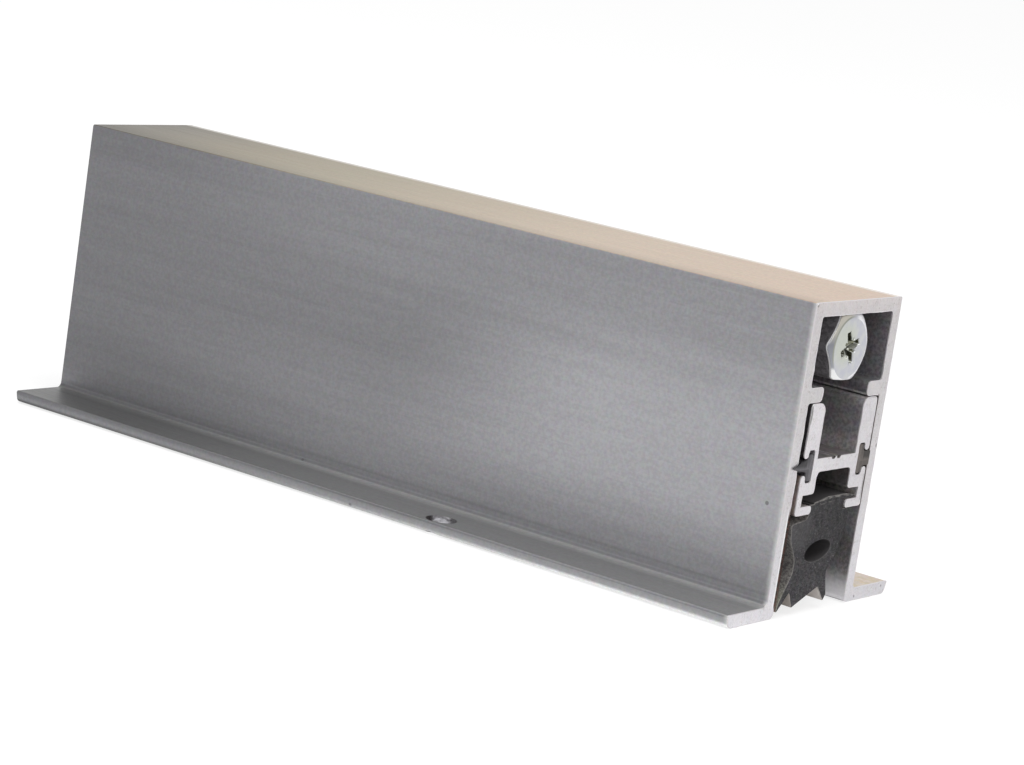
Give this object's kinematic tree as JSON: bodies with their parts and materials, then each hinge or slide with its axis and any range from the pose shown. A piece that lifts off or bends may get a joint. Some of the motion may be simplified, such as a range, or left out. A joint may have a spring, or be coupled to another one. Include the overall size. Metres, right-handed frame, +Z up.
{
  "type": "automatic door bottom seal",
  "caption": "Short length of automatic door bottom: aluminium channel with fixing flanges, drop bar with rubber seal and wiper strips, hexagon plunger screw and bow spring.",
  "frame": {"origin": "middle of the footprint, level with the undersides of the flanges", "axes": "+X along the door's bottom edge to the plunger's end, +Y across the door, +Z up into the door"},
  "size_m": [0.1152, 0.0368, 0.038],
  "materials": {
    "housing_aluminium": "mill finish extrusion",
    "carrier_aluminium": "mill finish extrusion, sawn end",
    "seal_rubber": "matt",
    "wiper_vinyl": "soft satin",
    "zinc_plated_steel": "bright zinc plating",
    "pin_steel": "ground",
    "spring_steel": "tempered, dark",
    "black_steel": "black oxide",
    "black_nylon": "moulded",
    "cast_zinc": "as cast"
  },
  "bodies": {
    "housing": {"housing": "housing_aluminium", "guide_block": "black_nylon", "guide_block_set_screw": "black_steel", "anchor_block": "cast_zinc", "left_anchor_set_screw": "black_steel", "right_anchor_set_screw": "black_steel", "rear_spring_pin": "pin_steel", "bow_spring": "spring_steel"},
    "plunger": {"adjusting_screw": "zinc_plated_steel", "lock_nut": "zinc_plated_steel", "slide_block": "black_nylon", "front_spring_pin": "pin_steel"},
    "drop_bar": {"drop_bar": "carrier_aluminium", "rubber_seal": "seal_rubber", "left_wiper_strip": "wiper_vinyl", "right_wiper_strip": "wiper_vinyl", "saddle": "black_nylon", "keeper_pin": "pin_steel", "front_saddle_screw": "zinc_plated_steel", "rear_saddle_screw": "zinc_plated_steel", "front_guide_pin": "pin_steel", "rear_guide_pin": "pin_steel"}
  },
  "joints": [
    {"name": "bar_drop", "type": "slide", "parent": "housing", "child": "drop_bar", "axis": [0, 0, -1], "range_m": [0, 0.008], "stiffness_N_per_m": 800, "springref_m": -0.006, "deforming": ["bow_spring"]},
    {"name": "plunger_push", "type": "slide", "parent": "housing", "child": "plunger", "axis": [-1, 0, 0], "range_m": [0, 0.005]}
  ],
  "couplings": [
    {"joint": "plunger_push", "follows": "bar_drop", "ratio": 0.625}
  ]
}
